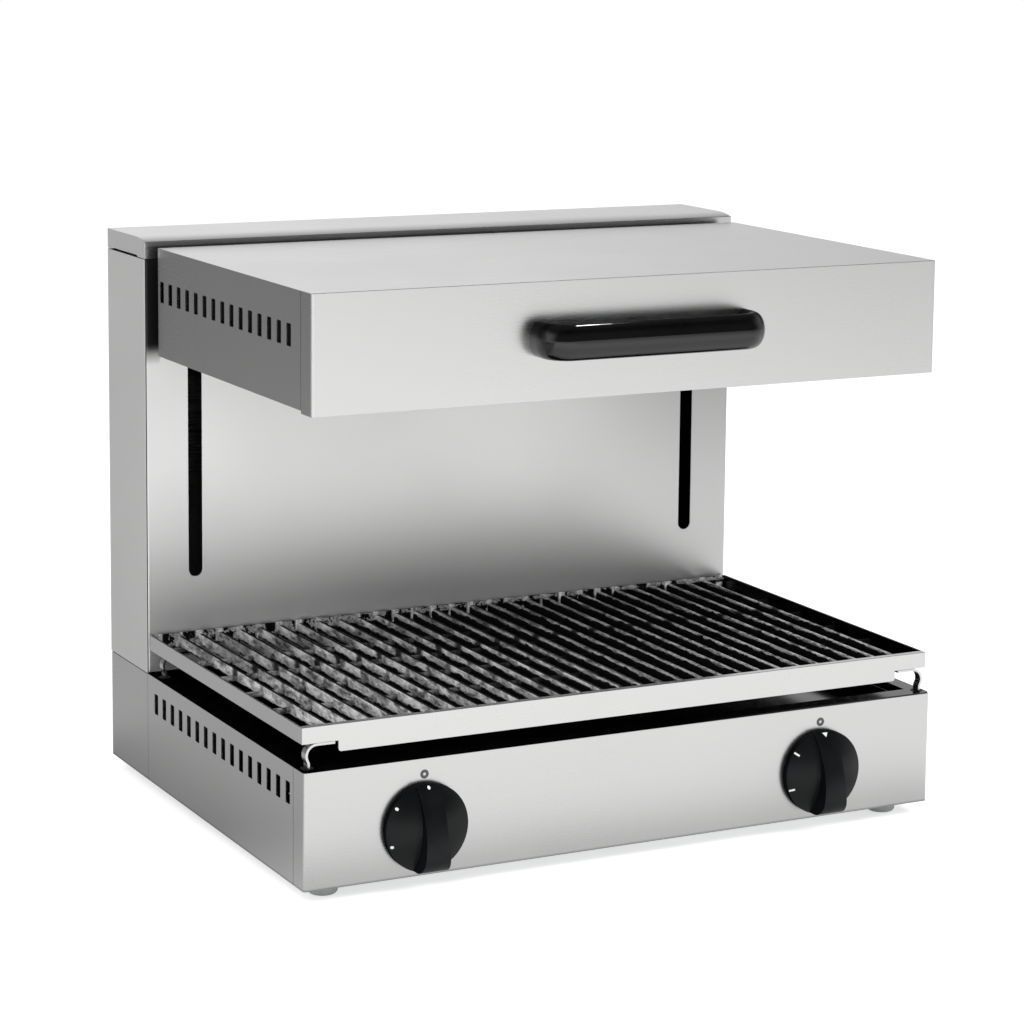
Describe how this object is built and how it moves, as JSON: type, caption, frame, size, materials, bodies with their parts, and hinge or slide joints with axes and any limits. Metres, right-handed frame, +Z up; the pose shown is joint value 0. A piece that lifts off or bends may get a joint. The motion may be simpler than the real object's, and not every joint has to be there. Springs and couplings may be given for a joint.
{
  "type": "cheese melter",
  "caption": "Counter-top grill with a counterbalanced lifting hood over a lift-off rack, a drip tray in an enamelled well and rotary zone switches.",
  "frame": {"origin": "centre of the footprint (from the handle's front to the gland's back) on the surface that the feet stand on", "axes": "+X to the right seen from the front, +Y from the front to the back, +Z up"},
  "size_m": [0.6, 0.512, 0.502],
  "materials": {
    "casing_steel": "satin, fine grain along each panel",
    "inner_steel": "plain zinc-plated sheet",
    "dark_plate": "heat-resistant black paint",
    "black_enamel": "glossy vitreous enamel",
    "rack_steel": "satin",
    "bar_steel": "plated bars, heat-stained by use",
    "black_plastic": "fine satin moulding",
    "handle_plastic": "polished thermoset",
    "white_paint": "pad print",
    "printed_ink": "pad print",
    "grey_rubber": "matt",
    "screw_steel": "bright plated",
    "switch_plastic": "moulded",
    "plated_brass": "bright",
    "bearing_brass": "machined",
    "pulley_aluminium": "machined",
    "cable_steel": "stranded wire",
    "weight_iron": "as cast, primed",
    "reflector_steel": "polished aluminised sheet",
    "element_sheath": "oxidised sheath",
    "mineral_wool": "felted"
  },
  "bodies": {
    "cabinet": {"base_front_panel": "casing_steel", "base_side_left": "casing_steel", "base_side_right": "casing_steel", "base_rear_casing": "casing_steel", "base_floor": "inner_steel", "base_bulkhead": "inner_steel", "well_liner": "black_enamel", "rack_leg_sockets": "black_plastic", "feet": "grey_rubber", "foot_screws": "screw_steel", "index_marks": "printed_ink", "zone_switch_left": "switch_plastic", "zone_switch_right": "switch_plastic", "switch_screws": "screw_steel", "terminal_block": "switch_plastic", "cable_gland": "black_plastic", "gland_nut": "black_plastic", "bonding_stud": "plated_brass", "column_casing": "casing_steel", "column_top_cover": "casing_steel", "column_back_panel": "casing_steel", "back_panel_screws": "screw_steel", "guide_rods": "screw_steel", "pulley_beam": "inner_steel", "pulley_axles": "screw_steel", "rod_foot_brackets": "inner_steel", "lower_buffers": "grey_rubber", "cable_wraps": "cable_steel", "weight_cables": "cable_steel"},
    "hood": {"hood_canopy": "casing_steel", "hood_front_panel": "casing_steel", "hood_back_plate": "dark_plate", "hood_reflector": "reflector_steel", "hood_insulation": "mineral_wool", "heating_element_left": "element_sheath", "heating_element_right": "element_sheath", "element_brackets": "reflector_steel", "hood_arms": "inner_steel", "carriage": "inner_steel", "carriage_bushes": "bearing_brass", "handle": "handle_plastic", "handle_screws": "screw_steel", "hood_cables": "cable_steel"},
    "counterweight": {"counterweight": "weight_iron"},
    "pulley_left": {"pulley_left": "pulley_aluminium"},
    "pulley_right": {"pulley_right": "pulley_aluminium"},
    "knob_left": {"knob_left": "black_plastic", "knob_left_spindle": "screw_steel", "knob_left_marks": "white_paint"},
    "knob_right": {"knob_right": "black_plastic", "knob_right_spindle": "screw_steel", "knob_right_marks": "white_paint"},
    "rack": {"rack_front_rail": "rack_steel", "rack_rear_rail": "rack_steel", "rack_side_rails": "rack_steel", "rack_bars": "bar_steel", "rack_cross_rods": "bar_steel", "rack_legs": "rack_steel"},
    "drip_tray": {"drip_tray": "black_enamel"}
  },
  "joints": [
    {"name": "hood_slide", "type": "slide", "parent": "cabinet", "child": "hood", "axis": [0, 0, -1], "range_m": [0, 0.2365], "deforming": ["hood_cables"]},
    {"name": "counterweight_slide", "type": "slide", "parent": "cabinet", "child": "counterweight", "axis": [0, 0, 1], "range_m": [0, 0.2365]},
    {"name": "pulley_left_spin", "type": "hinge", "parent": "cabinet", "child": "pulley_left", "pos_m": [-0.12, 0.191, 0.457], "axis": [1, 0, 0], "range_deg": [0, 847.5]},
    {"name": "pulley_right_spin", "type": "hinge", "parent": "cabinet", "child": "pulley_right", "pos_m": [0.12, 0.191, 0.457], "axis": [1, 0, 0], "range_deg": [0, 847.5]},
    {"name": "knob_left_turn", "type": "hinge", "parent": "cabinet", "child": "knob_left", "pos_m": [-0.1935, -0.218, 0.0535], "axis": [0, 1, 0], "range_deg": [0, 110]},
    {"name": "knob_right_turn", "type": "hinge", "parent": "cabinet", "child": "knob_right", "pos_m": [0.1865, -0.218, 0.0535], "axis": [0, 1, 0], "range_deg": [0, 110]},
    {"name": "rack_lift", "type": "slide", "parent": "cabinet", "child": "rack", "axis": [0, 0, 1], "range_m": [0, 0.012]},
    {"name": "drip_tray_lift", "type": "slide", "parent": "cabinet", "child": "drip_tray", "axis": [0, 0, 1], "range_m": [0, 0.02]}
  ],
  "couplings": [
    {"joint": "counterweight_slide", "follows": "hood_slide", "ratio": 1},
    {"joint": "pulley_left_spin", "follows": "hood_slide", "rad_per_m": 62.5},
    {"joint": "pulley_right_spin", "follows": "hood_slide", "rad_per_m": 62.5}
  ]
}
